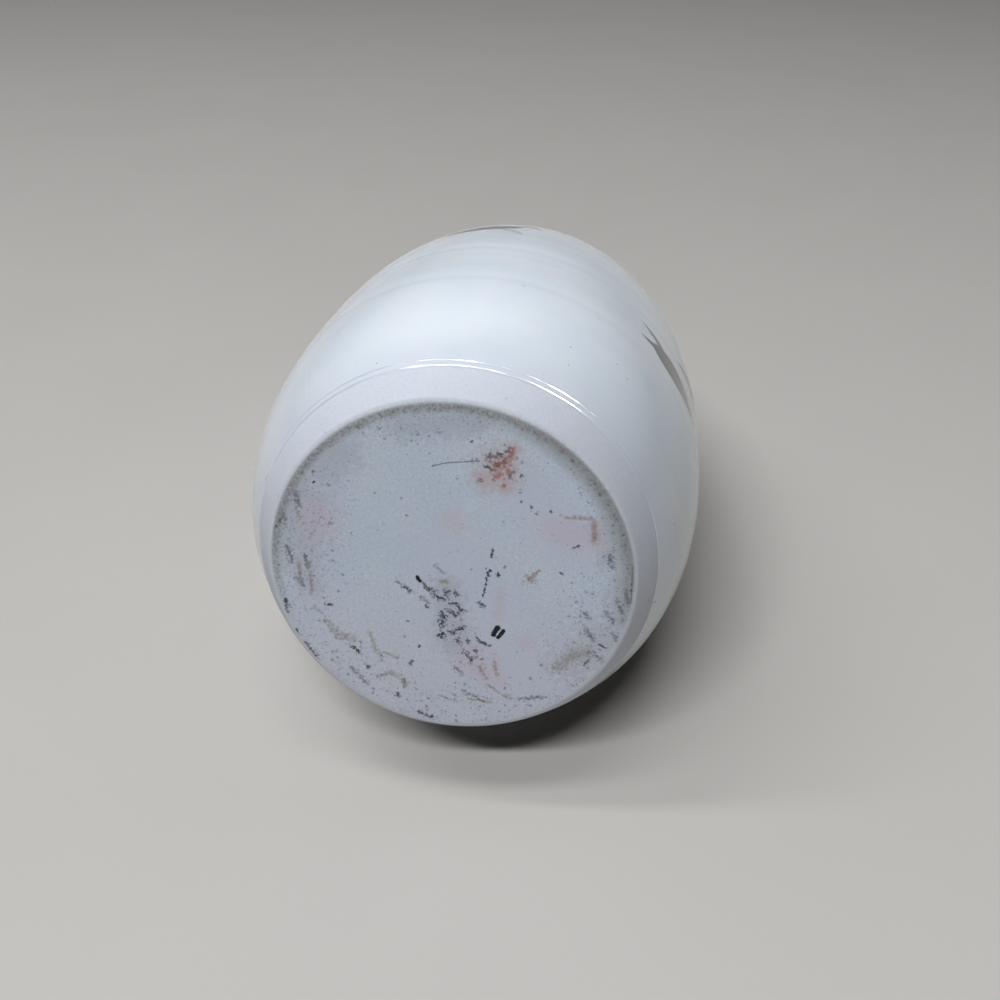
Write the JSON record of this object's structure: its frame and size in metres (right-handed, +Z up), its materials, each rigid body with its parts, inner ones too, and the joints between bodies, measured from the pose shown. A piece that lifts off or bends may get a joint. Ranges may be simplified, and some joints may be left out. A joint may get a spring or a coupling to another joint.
{
  "type": "bottle vase",
  "caption": "Upright bottle vase with a flat bare base, an ovoid body, a narrow neck and a flared lip, glazed inside and out.",
  "frame": {"origin": "centre of the flat base, on the surface that the vase stands on", "axes": "+Z up along the turning axis, from the base to the mouth; +X and +Y are any two level directions, with the painted strokes on the side of +X and -Y"},
  "size_m": [0.0876, 0.0876, 0.186],
  "materials": {
    "bare_clay": "fired, unglazed, matt",
    "slip": "fired slip, matt",
    "glaze": "glossy bluish white glaze with painted leaf strokes"
  },
  "bodies": {
    "root": {"lower_body": "bare_clay", "belly_slip": "slip", "upper_body": "bare_clay", "neck_slip": "slip", "neck": "bare_clay", "outer_glaze": "glaze", "inner_glaze": "glaze"}
  },
  "joints": []
}
